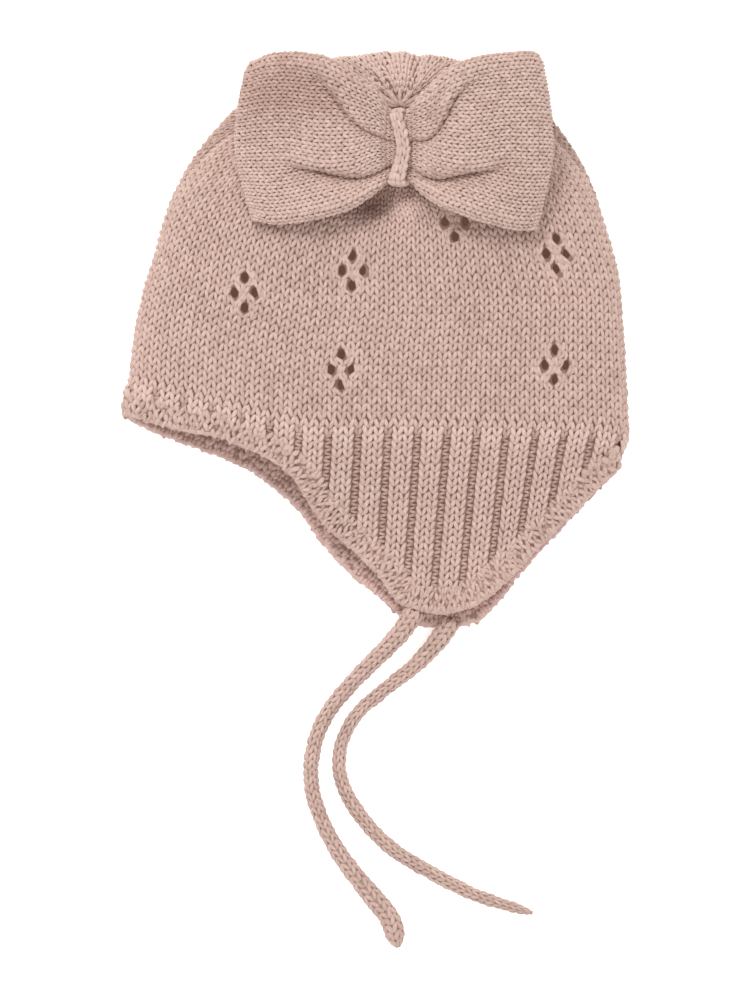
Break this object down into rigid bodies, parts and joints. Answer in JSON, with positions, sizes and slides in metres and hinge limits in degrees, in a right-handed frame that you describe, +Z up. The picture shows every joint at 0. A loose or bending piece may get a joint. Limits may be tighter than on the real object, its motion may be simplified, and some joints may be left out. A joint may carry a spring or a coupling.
{
  "type": "baby bonnet",
  "caption": "Knitted baby bonnet with a gathered crown, ribbed ear flaps, a large knitted bow and tie strings, lying flat on its side.",
  "frame": {"origin": "centre of the bounding box of the hat and its bow, without the ties, at the level of the floor it lies on", "axes": "+Z up from the floor, +Y from the ear flaps towards the crown's gathered top, -X towards the forehead opening"},
  "size_m": [0.2028, 0.3609, 0.0492],
  "materials": {
    "crown": "knitted stockinette",
    "rib_band": "knitted rib",
    "hem_edging": "knitted garter border",
    "bow": "knitted stockinette",
    "tie": "knitted cord"
  },
  "bodies": {
    "root": {"crown": "crown", "rib_band": "rib_band", "hem_edging": "hem_edging", "bow_loops": "bow", "bow_wrap": "bow", "tie_near": "tie", "tie_far": "tie"}
  },
  "joints": []
}
